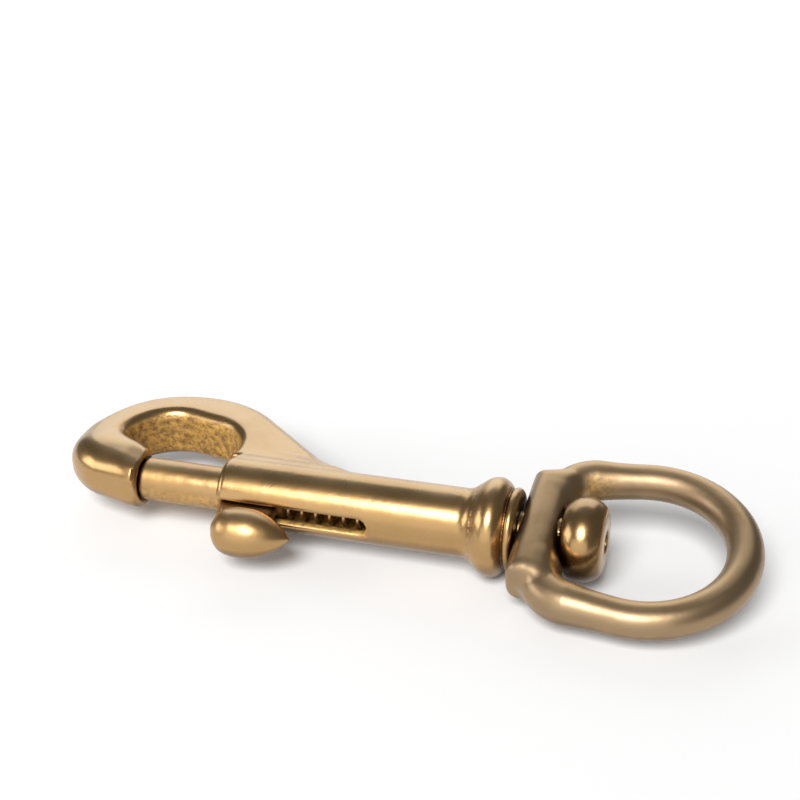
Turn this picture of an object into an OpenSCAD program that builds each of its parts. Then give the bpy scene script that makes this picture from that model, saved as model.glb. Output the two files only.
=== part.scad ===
// Swivel-eye bolt snap: cast hook body, spring bolt with thumb knob, coil spring and swivel eye.
// The swivel axis is X, the hook lies in the XY plane, and the thumb knob points to -Y.
// The origin is the centre of the eye's round end, on the swivel axis.

/* [Barrel] */
// Outside diameter of the barrel
barrel_d = 11.5; // [11:0.1:14]
// Length from the middle of the collar to the mouth of the barrel
barrel_l = 47.3; // [45:0.1:52]
// Rounding of the barrel's rim at the mouth
mouth_round = 1.1; // [0.4:0.1:1.4]
// Wall left between the bottom of the bore and the middle of the collar
bore_floor = 8; // [5:0.1:10]
// Width of the slot for the knob's neck
slot_w = 2.8; // [2.4:0.1:3.6]

/* [Collar and stem] */
// Largest diameter of the collar bead
collar_d = 16.4; // [15:0.1:19]
// Thickness of the collar bead along the axis
collar_t = 4.6; // [4:0.1:5.6]
// Radius of the hollow between the barrel and the collar
flare_r = 3; // [2:0.1:5]
// Diameter of the narrow bead that the eye turns against
seat_d = 13.8; // [12:0.1:15]
// Thickness of the narrow bead
seat_t = 1.7; // [1.2:0.1:2]
// Diameter of the groove between the two beads
groove_d = 11.6; // [9:0.1:11.9]
// Diameter of the stem through the eye
stem_d = 6.4; // [5.4:0.1:7]
// Largest diameter of the stem's head
head_d = 13.8; // [12:0.1:14.4]
// Length of the stem's head
head_l = 7; // [6:0.1:7.4]
// Diameter of the flat end of the head
head_face_d = 9.8; // [8:0.1:11]
// Diameter of the hole in the end of the head
head_hole_d = 3.8; // [2:0.1:4.6]
// Depth of the hole in the end of the head
head_hole_l = 6; // [3:0.5:9]

/* [Hook] */
// Thickness of the hook's flat plate
hook_t = 9.4; // [8:0.1:10.4]
// Radius of the hook's outline at the back
loop_r = 14.4; // [14:0.1:15]
// Distance from the nose's end back to the middle of that outline
loop_dx = 0.3; // [-0.2:0.1:0.8]
// Distance from the swivel axis to the middle of that outline
loop_y = 10.3; // [9.8:0.1:10.8]
// Radius of the hook's outline round the nose
cheek_r = 10.4; // [9.8:0.1:10.8]
// Distance from the nose's end forward to the middle of the nose's outline
cheek_dx = 6.2; // [5.6:0.1:6.8]
// Distance from the swivel axis to the middle of the nose's outline
cheek_y = 7.3; // [6.9:0.1:7.7]
// Radius of the throat beside the barrel
throat_r = 8.8; // [8.4:0.1:9.2]
// Distance from the nose's end to the throat's middle, along the axis
throat_dx = 5; // [4.6:0.1:5.4]
// Distance from the swivel axis to the throat's middle
throat_y = 6.8; // [6.4:0.1:7.2]
// Radius of the throat's bay behind the nose
bay_r = 8.2; // [7.8:0.1:8.6]
// Distance from the nose's end to the bay's middle, along the axis
bay_dx = 0.2; // [-0.2:0.1:0.6]
// Distance from the swivel axis to the bay's middle
bay_y = 8.6; // [8.2:0.1:9]
// Clear opening between the nose and the barrel
gate_l = 14.9; // [14:0.1:16]
// Rounding of the hook's outer edges
edge_r = 2.8; // [1.8:0.1:3.2]
// Rounding of the throat's edges
throat_edge_r = 2.2; // [1.2:0.1:2.6]
// Slope of the straight spine behind the throat, in degrees
spine_angle = 41; // [38:1:44]
// Where the spine's line meets the back of the barrel, from the collar's middle
spine_foot = 30.4; // [29.6:0.1:31.2]
// Radius of the shoulder between the back of the loop and the spine
shoulder_r = 20; // [19.4:0.1:20.6]
// Distance from the swivel axis to the shoulder's middle
shoulder_y = 4.8; // [4.4:0.1:5.2]
// Radius of the hollow where the spine runs into the barrel
runout_r = 6; // [4:0.5:10]
// Slope of the nose's inner side, in degrees
nose_angle = 31; // [28:1:35]
// Half width of the nose's end on the throat's side
nose_inner = 2.8; // [2.4:0.1:3.2]
// Diameter that the nose's end is rounded to
nose_d = 9; // [8.4:0.1:9.4]
// Length of the nose that is rounded
nose_l = 6.5; // [5.5:0.1:7.5]
// Slope of the cone that the nose widens with away from its end, in degrees
nose_flare = 41; // [36:1:46]
// Rounding of the rim of the nose's end
nose_round = 1.4; // [0.6:0.1:1.8]
// Depth of the seat for the bolt in the nose's end
seat_depth = 0.5; // [0.2:0.1:1]

/* [Bolt] */
// Diameter of the bolt
bolt_d = 7.4; // [6.6:0.1:8]
// Clearance round the bolt in the bore, on the radius
bolt_gap = 0.08; // [0.02:0.01:0.1]
// Length of the bolt
bolt_l = 26.6; // [26:0.1:28]
// Rounding of the bolt's tip
tip_round = 1.6; // [0.8:0.1:2.4]
// Gap between the bolt's tip and its seat
tip_gap = 0.1; // [0.05:0.05:0.3]
// Travel of the bolt
bolt_travel = 15.6; // [13:0.1:16]
// Length of the neck, along the axis
neck_l = 12; // [10:0.1:12.4]
// How far the neck stands out of the mouth of the barrel
neck_out = 1.2; // [0.4:0.1:2]
// How far the neck's front edge runs back on its way to the knob
neck_lean = 3.4; // [3:0.1:4.4]
// Clearance each side of the neck in the slot
neck_gap = 0.25; // [0.1:0.05:0.5]
// Diameter of the thumb knob
knob_d = 8.4; // [7.4:0.1:9.2]
// Length of the thumb knob's blunt front half
knob_front_l = 5.2; // [4.8:0.1:6]
// Length of the thumb knob's tapered rear half
knob_rear_l = 8.4; // [7.4:0.1:9.4]
// Distance of the knob's middle from the bolt's middle
knob_y = 10.8; // [10.6:0.1:12]
// Distance of the knob's thickest place behind the mouth
knob_back = 7; // [6:0.1:8]
// Turn of the slot and the knob about the axis, below the hook's plane, in degrees
knob_roll = 6; // [0:1:10]

/* [Spring] */
// Wire diameter
wire_d = 0.8; // [0.6:0.05:0.9]
// Clearance between the coil and the bore, on the radius
coil_gap = 0.3; // [0.2:0.05:0.5]
// Number of turns
coil_turns = 11; // [9:1:13]

/* [Eye] */
// Diameter of the eye's wire
eye_wire_d = 5.9; // [5:0.1:6.2]
// Outside width of the eye
eye_w = 37.2; // [36:0.1:39]
// Distance from the collar's middle to the middle of the eye's round end
eye_reach = 24.3; // [23:0.1:27]
// Taper of the eye's sides towards the base, in degrees
eye_taper = 8; // [6:1:10]
// Bend radius of the wire at the corners beside the base
corner_r = 6; // [5:0.1:7]
// Thickness of the eye's base along the axis
base_l = 6.8; // [6.2:0.1:7.5]
// Width of the flat on the eye's base
base_w = 22.8; // [21:0.1:24]
// Height of the eye's base
base_h = 9.6; // [9:0.1:10.6]
// Rounding of the base's edges
base_edge_r = 2.2; // [1.2:0.1:2.8]
// Rounding of the base's ends
base_end_r = 3; // [2:0.1:4]
// Clearance of the eye on its stem, on the radius
stem_gap = 0.1; // [0.05:0.01:0.1]
// Clearance between the eye's base and the beads on each side
face_gap = 0.2; // [0.1:0.05:0.4]
// Turn of the eye about the swivel axis as it lies, in degrees
eye_roll = 12; // [0:1:20]

/* [Hidden] */
$fn = 96;

// Margin by which a cut runs past the face that it opens
cut = 1;
// Length by which the eye's wire stops short inside the balls that join it
wire_lap = 0.3;
// Length by which a straight cut or bar stops short of the round one that it runs into
edge_lap = 0.3;

brass = [0.60, 0.46, 0.25];
bright_brass = [0.66, 0.52, 0.30];
steel = [0.62, 0.63, 0.65];

// Places along the axis, measured from the middle of the collar
barrel_r = barrel_d / 2;
mouth_x = -barrel_l;
nose_x = mouth_x - gate_l;
bore_r = bolt_d / 2 + bolt_gap;
bore_x = -bore_floor;
tip_x = nose_x - seat_depth + tip_gap;
bolt_rear_x = tip_x + bolt_l;
neck_w = slot_w - 2 * neck_gap;
neck_x = mouth_x - neck_out;
slot_end_x = neck_x + neck_l + bolt_travel + neck_gap;
knob_x = mouth_x + knob_back;

// Collar, seat bead and stem
collar_r = collar_d / 2;
bead_r = collar_t / 2;
seat_x = bead_r + seat_t / 2;
base_x = seat_x + seat_t / 2 + face_gap;
head_x = base_x + base_l + face_gap;
head_r = head_d / 2;

// Hook outline: the loop, the throat in it and the spine that leads to the barrel
half_t = hook_t / 2;
loop_c = [nose_x + loop_dx, loop_y];
cheek_c = [nose_x - cheek_dx, cheek_y];
throat_c = [nose_x + throat_dx, throat_y];
bay_c = [nose_x + bay_dx, bay_y];
spine_dir = [cos(spine_angle), -sin(spine_angle)];
spine_out = [sin(spine_angle), cos(spine_angle)];
spine_end = [-spine_foot, barrel_r];
shoulder_drop = (shoulder_r - (barrel_r - shoulder_y) * spine_out[1]) / spine_out[0];
shoulder_c = [spine_end[0] - shoulder_drop, shoulder_y];
spine_start = shoulder_c + shoulder_r * spine_out;
spine_l = norm(spine_end - spine_start);
runout_c = spine_end + runout_r * [tan(spine_angle / 2), 1];
spine_w = 2 * edge_r + 2;
nose_dir = [-cos(nose_angle), sin(nose_angle)];
nose_edge = [nose_x, nose_inner] - bay_c;
nose_mid_l = -nose_edge * nose_dir;
nose_strip_l = nose_mid_l + sqrt(pow(nose_mid_l, 2) + pow(bay_r, 2) - nose_edge * nose_edge) - edge_lap;
nose_strip_w = 2;

// Height by which the shoulder stands over the straight spine that it runs into
overshoot = 0.1;
// Length by which the shoulder runs on into the loop
run_on = 5;
// Share by which a round part overshoots the faces it runs into, so that it crosses them cleanly
bite = 0.012;

// Eye outline in its own plane, measured from the middle of its round end
eye_root_d = base_l;
eye_r = (eye_w - eye_wire_d) / 2;
base_mid_x = base_x + base_l / 2 - eye_reach;
side_start = eye_r * [-sin(eye_taper), cos(eye_taper)];
side_dir = [-cos(eye_taper), -sin(eye_taper)];
corner_x = base_mid_x + corner_r;
side_l = (side_start[0] - corner_x - corner_r * sin(eye_taper)) / cos(eye_taper);
side_end = side_start + side_l * side_dir;
corner_c = side_end + corner_r * [sin(eye_taper), -cos(eye_taper)];

// Solid turned about the X axis from a profile drawn as (radius, place along X)
module turned() {
    rotate([0, 90, 0])
        rotate_extrude()
            children();
}

// Rounded rectangle from x = 0 to width, centred on the other axis
module rounded_section(width, height, r) {
    translate([r, -height / 2])
        square([width - 2 * r, height]);
    translate([0, r - height / 2])
        square([width, height - 2 * r]);
    for (x = [r, width - r], y = [r - height / 2, height / 2 - r])
        translate([x, y])
            circle(r);
}

// Half of a rounded disc's section, from the axis to its rounded edge
module disc_section(radius, height, r) {
    intersection() {
        translate([-radius, 0])
            rounded_section(2 * radius, height, r);
        translate([0, -height])
            square([radius + cut, 2 * height]);
    }
}

// Bar of rounded section that runs from a point along a direction, lying to the right of its line
module rounded_bar(from, angle, length, width, height, r) {
    translate([from[0], from[1], 0])
        rotate([0, 0, angle])
            rotate([90, 0, 90])
                linear_extrude(length)
                    mirror([1, 0])
                        rounded_section(width, height, r);
}

// Barrel, collar beads, stem and head as one turned profile
module turned_profile() {
    bead_y = collar_r - bead_r;
    flare_x = -sqrt(pow(bead_r + flare_r, 2) - pow(barrel_r + flare_r - bead_y, 2));
    difference() {
        union() {
            translate([0, mouth_x + mouth_round])
                square([barrel_r, barrel_l - mouth_round]);
            translate([0, mouth_x])
                square([barrel_r - mouth_round, barrel_l]);
            translate([barrel_r - mouth_round, mouth_x + mouth_round])
                circle(mouth_round);
            translate([0, flare_x])
                square([barrel_r + flare_r * (1 - cos(45)), -flare_x]);
        }
        translate([barrel_r + flare_r, flare_x])
            circle(flare_r);
    }
    translate([bead_y, 0])
        circle(bead_r);
    translate([0, -bead_r])
        square([bead_y, collar_t]);
    square([groove_d / 2, seat_x]);
    translate([seat_d / 2 - seat_t / 2, seat_x])
        circle(seat_t / 2);
    translate([0, seat_x - seat_t / 2])
        square([seat_d / 2 - seat_t / 2, seat_t]);
    square([stem_d / 2, head_x + cut]);
    translate([0, head_x])
        head_profile();
}

// Barrel-shaped head with a flat end: one arc bulges between its two faces
module head_profile() {
    face_r = head_face_d / 2;
    bulge = head_r - face_r;
    arc_r = (pow(head_l / 2, 2) + pow(bulge, 2)) / (2 * bulge);
    intersection() {
        square([head_r, head_l]);
        translate([head_r - arc_r, head_l / 2])
            circle(arc_r);
    }
    square([face_r, head_l]);
}

// Round plate with a rounded outer edge
module loop_disc(middle, radius) {
    translate([middle[0], middle[1], 0])
        rotate_extrude()
            disc_section(radius, hook_t, edge_r);
}

// Flat web between the loop, the spine and the barrel, with the spine's rounded edge
module web_plate() {
    inset = edge_r + 1;
    linear_extrude(hook_t, center = true)
        polygon([
            loop_c,
            spine_start - inset * spine_out,
            spine_end - inset * spine_out,
            [spine_end[0], 0],
            [mouth_x, 0],
        ]);
    rounded_bar(spine_start, -spine_angle, spine_l, spine_w, hook_t, edge_r);
    shoulder();
}

// Shoulder between the back of the loop and the spine: the rear quarter of a round plate
module shoulder() {
    intersection() {
        loop_disc(shoulder_c, shoulder_r + overshoot);
        translate([shoulder_c[0] - run_on, loop_y, -hook_t])
            cube([2 * shoulder_r, shoulder_r, 2 * hook_t]);
    }
}

// Hollow run-out from the spine into the barrel: a turned trumpet cut flat just inside the web's faces
module spine_runout() {
    reach = runout_r * tan(spine_angle / 2);
    height = hook_t * (1 - bite);
    intersection() {
        turned()
            difference() {
                polygon([
                    [0, spine_end[0] - reach * cos(spine_angle)],
                    [barrel_r + reach * sin(spine_angle), spine_end[0] - reach * cos(spine_angle)],
                    [barrel_r, spine_end[0]],
                    [barrel_r, runout_c[0]],
                    [0, runout_c[0]],
                ]);
                translate([runout_c[1], runout_c[0]])
                    circle(runout_r * (1 + bite));
            }
        translate([-barrel_l, 0, -height / 2])
            cube([barrel_l, 2 * loop_r, height]);
    }
}

// Section of a cut with trumpet-shaped edges, from x = 0 to its wall at width
module flared_section(width) {
    translate([0, -half_t - cut])
        square([width, hook_t + 2 * cut]);
    for (side = [0, 1])
        mirror([0, side])
            difference() {
                translate([width - cut, half_t - throat_edge_r])
                    square([throat_edge_r + cut, throat_edge_r + cut]);
                translate([width + throat_edge_r, half_t - throat_edge_r * (1 - bite)])
                    circle(throat_edge_r);
            }
}

// Round cut with trumpet-shaped edges
module flared_disc(middle, radius) {
    translate([middle[0], middle[1], 0])
        rotate_extrude()
            flared_section(radius);
}

// Throat with trumpet-shaped edges, short of the nose's straight inner side
module throat_cut() {
    strip_l = 2 * throat_r;
    difference() {
        union() {
            flared_disc(throat_c, throat_r);
            flared_disc(bay_c, bay_r);
            flared_disc((throat_c + bay_c) / 2, (throat_r + bay_r) / 2);
        }
        translate([nose_x, nose_inner, 0])
            rotate([0, 0, -nose_angle])
                translate([-strip_l, -strip_l, -hook_t])
                    cube([2 * strip_l, strip_l, 2 * hook_t]);
    }
    translate([nose_x, nose_inner, 0])
        rotate([0, 0, -nose_angle])
            translate([nose_strip_l, 0, 0])
                rotate([90, 0, -90])
                    linear_extrude(2 * nose_strip_l)
                        translate([-nose_strip_w, 0])
                            flared_section(nose_strip_w);
}

// What is cut away round the nose to leave its end round
module nose_trim() {
    difference() {
        translate([nose_x - nose_l, -loop_r, -hook_t])
            cube([nose_l, loop_r + throat_y, 2 * hook_t]);
        translate([nose_x, 0, 0])
            turned()
                nose_end_profile(nose_l);
    }
}

// Cone that widens away from the nose's end, with a rounded rim
module nose_end_profile(length) {
    end_r = nose_d / 2;
    polygon([
        [0, 0],
        [end_r - nose_round, 0],
        [end_r, -nose_round],
        [end_r + tan(nose_flare) * length, -length],
        [0, -length],
    ]);
    translate([end_r - nose_round, -nose_round])
        circle(nose_round);
}

// Slot through the barrel's front side, with a round end
module slot_cut() {
    rotate([90 + knob_roll, 0, 0])
        linear_extrude(barrel_r + cut) {
            translate([mouth_x - cut, -slot_w / 2])
                square([slot_end_x - slot_w / 2 - mouth_x + cut, slot_w]);
            translate([slot_end_x - slot_w / 2, 0])
                circle(slot_w / 2);
        }
}

// Hook's plate with its throat, its round nose and the gate between the nose and the barrel
module hook_plate() {
    difference() {
        difference() {
            difference() {
                union() {
                    loop_disc(loop_c, loop_r);
                    loop_disc(cheek_c, cheek_r);
                    loop_disc((loop_c + cheek_c) / 2, (loop_r + cheek_r) / 2);
                    web_plate();
                }
                throat_cut();
            }
            nose_trim();
        }
        translate([nose_x, -2 * loop_r, -hook_t])
            cube([gate_l + cut, 2 * loop_r + barrel_r - mouth_round, 2 * hook_t]);
    }
}

// Bolt's bore and slot, its seat in the nose, and the hole in the stem's head
module body_holes() {
    translate([mouth_x - cut, 0, 0])
        rotate([0, 90, 0])
            cylinder(r = bore_r, h = bore_x - mouth_x + cut);
    slot_cut();
    translate([head_x + head_l - head_hole_l, 0, 0])
        rotate([0, 90, 0])
            cylinder(d = head_hole_d, h = head_hole_l + cut);
    translate([nose_x - seat_depth, 0, 0])
        rotate([0, 90, 0])
            cylinder(r = bore_r, h = seat_depth + cut);
}

// Hook, barrel, collar and headed stem in one casting
module hook_body() {
    color(brass)
        translate([-eye_reach, 0, 0])
            difference() {
                union() {
                    union() {
                        hook_plate();
                        turned()
                            turned_profile();
                    }
                    spine_runout();
                }
                body_holes();
            }
}

// Egg-shaped knob: a round front and a longer, tapered rear
module knob_profile() {
    r = knob_d / 2;
    rear_arc = (pow(knob_rear_l, 2) + pow(r, 2)) / (2 * r);
    translate([0, -knob_front_l + r])
        intersection() {
            circle(r);
            translate([0, -r])
                square([r, r]);
        }
    translate([0, -knob_front_l + r])
        square([r, knob_front_l - r]);
    intersection() {
        translate([r - rear_arc, 0])
            circle(rear_arc);
        square([r, knob_rear_l]);
    }
}

// Flat neck that passes through the slot, with a leaning front edge and a round rear
module neck() {
    r = neck_w / 2;
    difference() {
        rotate([90, 0, 0])
            linear_extrude(knob_y) {
                translate([neck_x, -r])
                    square([neck_l - r, neck_w]);
                translate([neck_x + neck_l - r, 0])
                    circle(r);
            }
        linear_extrude(2 * neck_w, center = true)
            polygon([
                [neck_x, 0],
                [neck_x + neck_lean, -knob_y],
                [neck_x + neck_lean, -knob_y - cut],
                [neck_x - cut, -knob_y - cut],
                [neck_x - cut, 0],
            ]);
    }
}

// Sliding bolt with its neck and thumb knob
module bolt() {
    r = bolt_d / 2;
    color(bright_brass)
        translate([-eye_reach, 0, 0]) {
            turned() {
                translate([0, tip_x])
                    square([r - tip_round, bolt_l]);
                translate([0, tip_x + tip_round])
                    square([r, bolt_l - tip_round]);
                translate([r - tip_round, tip_x + tip_round])
                    circle(tip_round);
            }
            rotate([knob_roll, 0, 0]) {
                neck();
                translate([knob_x, -knob_y, 0])
                    turned()
                        knob_profile();
            }
        }
}

// Coil between the bolt's rear and the bottom of the bore
module spring() {
    sides = 8;
    steps = 16;
    end_turns = 1;
    coil_r = bore_r - coil_gap - wire_d / 2;
    start_x = bolt_rear_x + tip_gap + wire_d / 2;
    end_x = bore_x - tip_gap - wire_d / 2;
    pitch_turns = coil_turns - 2 * end_turns;
    open_pitch = (end_x - start_x - 2 * end_turns * wire_d) / pitch_turns;
    function along(t) =
        t < end_turns ? t * wire_d
        : t > coil_turns - end_turns
            ? end_x - start_x - (coil_turns - t) * wire_d
            : end_turns * wire_d + (t - end_turns) * open_pitch;
    count = coil_turns * steps;
    rings = [for (i = [0:count]) let(t = i / steps, a = 360 * t) [
        for (j = [0:sides - 1]) let(
            b = 360 * j / sides,
            radius = coil_r + wire_d / 2 * cos(b)
        ) [start_x + along(t) + wire_d / 2 * sin(b), radius * cos(a), radius * sin(a)]
    ]];
    points = [for (ring = rings) each ring];
    side_faces = [for (i = [0:count - 1], j = [0:sides - 1]) let(k = (j + 1) % sides)
        [i * sides + j, i * sides + k, (i + 1) * sides + k, (i + 1) * sides + j]
    ];
    first_cap = [for (j = [0:sides - 1]) sides - 1 - j];
    last_cap = [for (j = [0:sides - 1]) count * sides + j];
    color(steel)
        translate([-eye_reach, 0, 0])
            polyhedron(points, concat(side_faces, [first_cap, last_cap]));
}

// Stretch of wire that stops short of the balls at its ends
module wire_run(from, angle, length, d1, d2) {
    translate([from[0], from[1], 0])
        rotate([0, 0, angle])
            rotate([0, 90, 0])
                translate([0, 0, wire_lap])
                    cylinder(d1 = d1, d2 = d2, h = length - 2 * wire_lap);
}

// Bend of wire round a middle, from one direction to another, short of the balls at its ends
module wire_bend(middle, radius, start, turn, d) {
    lap = wire_lap / radius * 180 / PI;
    translate([middle[0], middle[1], 0])
        rotate([0, 0, start + lap])
            rotate_extrude(angle = turn - 2 * lap)
                translate([radius, 0])
                    circle(d = d);
}

// Ball that joins two stretches of wire, a little proud of both
module wire_ball(at, d) {
    translate([at[0], at[1], 0])
        sphere(d = d * (1 + 2 * bite));
}

// One side of the eye: tapering in and thickening to the corner, then bent round to the base
module eye_side() {
    corner_end = corner_c - [corner_r, 0];
    wire_ball(side_start, eye_wire_d);
    wire_run(side_start, 180 + eye_taper, side_l, eye_wire_d, eye_root_d);
    wire_ball(side_end, eye_root_d);
    wire_bend(corner_c, corner_r, 90 + eye_taper, 90 - eye_taper, eye_root_d);
    wire_ball(corner_end, eye_root_d);
}

// Base of the eye: a bar with rounded edges and rounded ends
module eye_base() {
    intersection() {
        rounded_bar(
            [base_x - eye_reach, -base_w], 90, 2 * base_w,
            base_l, base_h, base_edge_r
        );
        translate([base_x - cut - eye_reach, -base_w / 2, 0])
            rotate([90, 0, 90])
                linear_extrude(base_l + 2 * cut)
                    rounded_section(base_w, base_h + bite, base_end_r);
    }
}

// Drilled base and round-wire loop of the swivel eye
module swivel_eye() {
    color(bright_brass)
        rotate([eye_roll, 0, 0])
            difference() {
                union() {
                    wire_bend([0, 0], eye_r, -90 - eye_taper, 180 + 2 * eye_taper, eye_wire_d);
                    for (side = [0, 1])
                        mirror([0, side, 0])
                            eye_side();
                    eye_base();
                }
                translate([base_x - cut - eye_reach, 0, 0])
                    rotate([0, 90, 0])
                        cylinder(d = stem_d + 2 * stem_gap, h = base_l + 2 * cut);
            }
}

hook_body();
bolt();
spring();
swivel_eye();
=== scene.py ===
"""Looks of a brass swivel-eye bolt snap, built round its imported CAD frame."""

import math

import bpy
import numpy as np
from mathutils import Matrix, Vector


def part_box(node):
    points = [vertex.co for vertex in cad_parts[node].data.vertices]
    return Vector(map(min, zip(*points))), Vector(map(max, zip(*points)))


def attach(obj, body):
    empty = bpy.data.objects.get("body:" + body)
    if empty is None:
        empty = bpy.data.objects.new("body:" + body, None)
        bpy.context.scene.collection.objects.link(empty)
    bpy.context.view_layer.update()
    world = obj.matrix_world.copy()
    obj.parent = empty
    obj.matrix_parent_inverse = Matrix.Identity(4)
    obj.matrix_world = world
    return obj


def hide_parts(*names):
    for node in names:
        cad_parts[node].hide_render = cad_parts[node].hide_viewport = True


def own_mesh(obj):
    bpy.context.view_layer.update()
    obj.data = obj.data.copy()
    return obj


bl_info = {
    "name": "Swivel-eye bolt snap",
    "version": (1, 0, 0),
    "blender": (4, 5, 0),
    "location": "View3D > Sidebar > Bolt snap",
    "description": "Builds the cast brass pieces, the coil spring and the studio of a bolt snap",
    "category": "Object",
}

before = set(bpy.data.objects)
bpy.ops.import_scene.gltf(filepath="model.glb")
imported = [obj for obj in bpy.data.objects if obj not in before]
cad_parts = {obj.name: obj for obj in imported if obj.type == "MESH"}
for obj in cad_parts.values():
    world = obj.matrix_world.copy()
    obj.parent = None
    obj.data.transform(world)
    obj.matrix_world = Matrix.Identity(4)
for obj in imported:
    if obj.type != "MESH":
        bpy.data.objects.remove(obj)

MM = 0.001

# Small roundings and hollows of the castings, in millimetres
HOLE_EDGE = 0.3
SLOT_EDGE = 1.0
DENT_EDGE = 0.2
GATE_EDGE = 0.6
RUNOUT_EDGE = 0.4
THROAT_CORNER = 1.5
SEAT_HOLLOW = 0.3
HEAD_EDGE = 0.5
HEAD_HOLLOW = 0.25
KNOB_EDGE = 0.2
NECK_HOLLOW = 0.5
BASE_END_EDGE = 1

# How far a cut runs past the face it opens, a piece into its neighbour, and the web above the axis
CUT_PAST = 3
OVERLAP = 1
WEB_FOOT = 1

# A distance beyond the whole part, where a stretch of wire has ended
FAR_OFF = 1e3

# The cheek's softer edge: angles round the throat, height past the loop's middle, fade, radius
SOFT_ANGLES = (1.5, 2.8)
SOFT_TOP, SOFT_FADE = 6, 12
SOFT_EXTRA = 1.5

# Where the plate's faces fall to the outline, and rise to the barrel and on the cheek
CROWN_BAND = (-7, -1.5)
WEB_TOP, WEB_FADE = 8, 6
WEB_BAND = (8, 14)
CHEEK_TOP, CHEEK_FADE = 9, 8
CHEEK_FRONT, CHEEK_RUN = 2, 6
SINK_RUN = 5

# Grid cells of the castings; the grid reaches past the solid, which is slimmer at the loop
BODY_CELL, BOLT_CELL, EYE_CELL = 0.36, 0.28, 0.3
GRID_MARGIN = 2.1
LEAST_SLOPE = 0.2
TINY = 1e-6

# Painted shade, patina and wear: (distance ahead, share) of each probe that darkens hollows and
# gaps between pieces as painted shade and brown patina, and the slopes that darken faces facing
# down and faces not level as painted shade
HOLLOW_PROBES = ((0.5, 0.3), (1.2, 0.4), (2.4, 0.3))
HOLLOW_LIMIT = 1.4
# Painted shade on faces that face down.
UNDERSIDE_SHADE, UNDERSIDE_SLOPE = 0.85, 0.6
WEAR_DEPTH = 0.8
LEVEL_BAND = (0.86, 0.99)
HEAD_DARKENING, HEAD_START = 0.5, 0.1

# Raw cast skin: the throat's wall, the slot and bore, the bolt's underside, the eye's inside
WALL_DEPTH, WALL_HEIGHT = (-0.7, -0.1), (-4.4, -3.2)
SLOT_RIM, BORE_RIM, SLOT_REST = 0.3, 0.2, 0.4
ROUND_SHARE = 0.5
BOLT_RAW, BOLT_UNDER, BOLT_RIM = 0.45, (-0.35, 0.25), 0.3
EYE_RAW, EYE_INNER, EYE_RUN = 0.8, (0.3, 0.8), (4, 14)
RAW_ROUGHER = 0.3
RAW_METAL = 0.45

# Steps of the coil per turn and sides of its wire
TURN_STEPS, WIRE_SIDES = 40, 14

# Studio: name, azimuth, elevation, distance, width, height and watts of each card
CARDS = (
    ("back_card", 193, 29, 0.7, 0.8, 0.5, 1.3),
    ("low_card", 193, 6, 0.7, 1.0, 0.16, 0.25),
    ("left_card", -70, 20, 0.5, 0.3, 0.2, 0.6),
    ("front_card", -4, 13, 0.6, 0.9, 0.3, 1.0),
)
KEY_AZ, KEY_EL, KEY_FAR = -4, 47, 0.6
KEY_ANGLE, KEY_STRENGTH = 30, 3.0
STUDIO_MIDDLE = (-0.04, 0, 0)
WORLD_STRENGTH = 0.16
FLOOR_HALF, FLOOR_Z, FLOOR_ROUGH = 3.0, -0.0084, 0.9

# Camera: lens, sensor and near limit, place, and its right, up and backward directions
CAMERA_LENS, CAMERA_SENSOR, CAMERA_NEAR = 65.681, 36, 0.005
CAMERA_PLACE = (0.021683, -0.198147, 0.126372)
CAMERA_AXES = (
    (0.957306, 0.288436, -0.019241),
    (-0.113974, 0.437767, 0.891835),
    (0.265661, -0.851566, 0.451951),
)


def size(name, default, description):
    """A length property in metres, given here in millimetres."""
    return bpy.props.FloatProperty(
        name=name,
        description=description,
        default=default * MM,
        unit="LENGTH",
        precision=5,
    )


def angle(name, default, description):
    """An angle property, given here in degrees."""
    return bpy.props.FloatProperty(
        name=name,
        description=description,
        default=math.radians(default),
        unit="ROTATION",
    )


def colour(name, default, description):
    """A linear colour property."""
    return bpy.props.FloatVectorProperty(
        name=name,
        description=description,
        default=default,
        size=3,
        min=0,
        max=1,
        subtype="COLOR",
    )


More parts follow.
